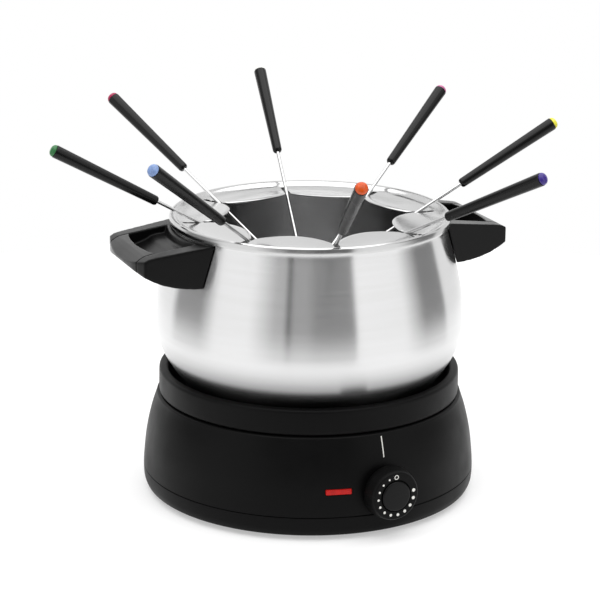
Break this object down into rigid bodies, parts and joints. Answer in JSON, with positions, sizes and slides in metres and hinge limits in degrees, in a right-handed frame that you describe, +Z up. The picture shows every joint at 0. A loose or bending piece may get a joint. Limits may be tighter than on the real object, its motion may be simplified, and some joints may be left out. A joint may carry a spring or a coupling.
{
  "type": "electric fondue set",
  "caption": "Electric fondue set: round heated base with a dial and lamp, lift-off bulging steel pot with side handles, and long forks held in a lobed ring on its rim.",
  "frame": {"origin": "on the table, under the middle of the round base", "axes": "+Z up, the dial side faces -Y, +X to the right seen from the front"},
  "size_m": [0.306, 0.2909, 0.2378],
  "materials": {
    "black_plastic": "satin moulded black, fine spark texture",
    "handle_plastic": "satin moulded black phenolic",
    "fork_plastic": "semi-gloss black",
    "knob_cap_plastic": "semi-gloss black",
    "foot_rubber": "matt",
    "hotplate_metal": "heat-darkened",
    "dark_steel": "darkened",
    "plain_steel": "plain",
    "bare_aluminium": "bare",
    "thermostat_ceramic": null,
    "lamp_glass": "clear",
    "lamp_red": "lit red lens",
    "spindle_brass": "turned",
    "stainless_pot": "fine circumferential brushing, satin",
    "stainless_ring": "polished stainless",
    "fork_steel": "polished stainless",
    "cap_orange": "glossy coloured",
    "cap_violet": "glossy coloured",
    "cap_yellow": "glossy coloured",
    "cap_pink": "glossy coloured",
    "cap_white": "glossy coloured",
    "cap_crimson": "glossy coloured",
    "cap_green": "glossy coloured",
    "cap_blue": "glossy coloured"
  },
  "bodies": {
    "base": {"bottom_tray": "black_plastic", "housing": "black_plastic", "collar": "black_plastic", "foot_1": "foot_rubber", "foot_2": "foot_rubber", "foot_3": "foot_rubber", "foot_4": "foot_rubber", "tray_screw_1": "dark_steel", "tray_screw_2": "dark_steel", "tray_screw_3": "dark_steel", "tray_screw_4": "dark_steel", "hotplate": "hotplate_metal", "heating_element": "dark_steel", "heat_shield": "bare_aluminium", "hotplate_stud": "plain_steel", "stud_nut": "plain_steel", "thermostat": "thermostat_ceramic", "neon_lamp": "lamp_glass", "lamp_lens": "lamp_red", "terminal_block": "thermostat_ceramic", "cord_gland": "foot_rubber"},
    "knob": {"knob": "black_plastic", "knob_cap": "knob_cap_plastic", "thermostat_spindle": "spindle_brass"},
    "pot": {"pot_body": "stainless_pot", "pot_base_disc": "bare_aluminium", "handle_left": "handle_plastic", "handle_left_grip": "handle_plastic", "handle_left_bracket": "plain_steel", "handle_left_screw": "dark_steel", "handle_right": "handle_plastic", "handle_right_grip": "handle_plastic", "handle_right_bracket": "plain_steel", "handle_right_screw": "dark_steel"},
    "fork_ring": {"fork_ring": "stainless_ring"},
    "fork_orange": {"fork_orange_shaft": "fork_steel", "fork_orange_handle": "fork_plastic", "fork_orange_cap": "cap_orange"},
    "fork_violet": {"fork_violet_shaft": "fork_steel", "fork_violet_handle": "fork_plastic", "fork_violet_cap": "cap_violet"},
    "fork_yellow": {"fork_yellow_shaft": "fork_steel", "fork_yellow_handle": "fork_plastic", "fork_yellow_cap": "cap_yellow"},
    "fork_pink": {"fork_pink_shaft": "fork_steel", "fork_pink_handle": "fork_plastic", "fork_pink_cap": "cap_pink"},
    "fork_white": {"fork_white_shaft": "fork_steel", "fork_white_handle": "fork_plastic", "fork_white_cap": "cap_white"},
    "fork_crimson": {"fork_crimson_shaft": "fork_steel", "fork_crimson_handle": "fork_plastic", "fork_crimson_cap": "cap_crimson"},
    "fork_green": {"fork_green_shaft": "fork_steel", "fork_green_handle": "fork_plastic", "fork_green_cap": "cap_green"},
    "fork_blue": {"fork_blue_shaft": "fork_steel", "fork_blue_handle": "fork_plastic", "fork_blue_cap": "cap_blue"}
  },
  "joints": [
    {"name": "knob_turn", "type": "hinge", "parent": "base", "child": "knob", "pos_m": [0.04731, -0.09284, 0.0288], "axis": [-0.454, 0.891, 0], "range_deg": [0, 280]},
    {"name": "pot_lift", "type": "slide", "parent": "base", "child": "pot", "axis": [0, 0, 1], "range_m": [0, 0.12]},
    {"name": "ring_lift", "type": "slide", "parent": "pot", "child": "fork_ring", "axis": [0, 0, 1], "range_m": [0, 0.12]},
    {"name": "fork_orange_pull", "type": "slide", "parent": "fork_ring", "child": "fork_orange", "axis": [0.1352, -0.8169, 0.5606], "range_m": [0, 0.18]},
    {"name": "fork_violet_pull", "type": "slide", "parent": "fork_ring", "child": "fork_violet", "axis": [0.7421, -0.4931, 0.454], "range_m": [0, 0.18]},
    {"name": "fork_yellow_pull", "type": "slide", "parent": "fork_ring", "child": "fork_yellow", "axis": [0.827, 0.2418, 0.5075], "range_m": [0, 0.18]},
    {"name": "fork_pink_pull", "type": "slide", "parent": "fork_ring", "child": "fork_pink", "axis": [0.4931, 0.6664, 0.5592], "range_m": [0, 0.18]},
    {"name": "fork_white_pull", "type": "slide", "parent": "fork_ring", "child": "fork_white", "axis": [-0.1854, 0.7603, 0.6225], "range_m": [0, 0.18]},
    {"name": "fork_crimson_pull", "type": "slide", "parent": "fork_ring", "child": "fork_crimson", "axis": [-0.684, 0.4719, 0.5563], "range_m": [0, 0.18]},
    {"name": "fork_green_pull", "type": "slide", "parent": "fork_ring", "child": "fork_green", "axis": [-0.8591, -0.181, 0.4787], "range_m": [0, 0.18]},
    {"name": "fork_blue_pull", "type": "slide", "parent": "fork_ring", "child": "fork_blue", "axis": [-0.5274, -0.6241, 0.5764], "range_m": [0, 0.18]}
  ]
}
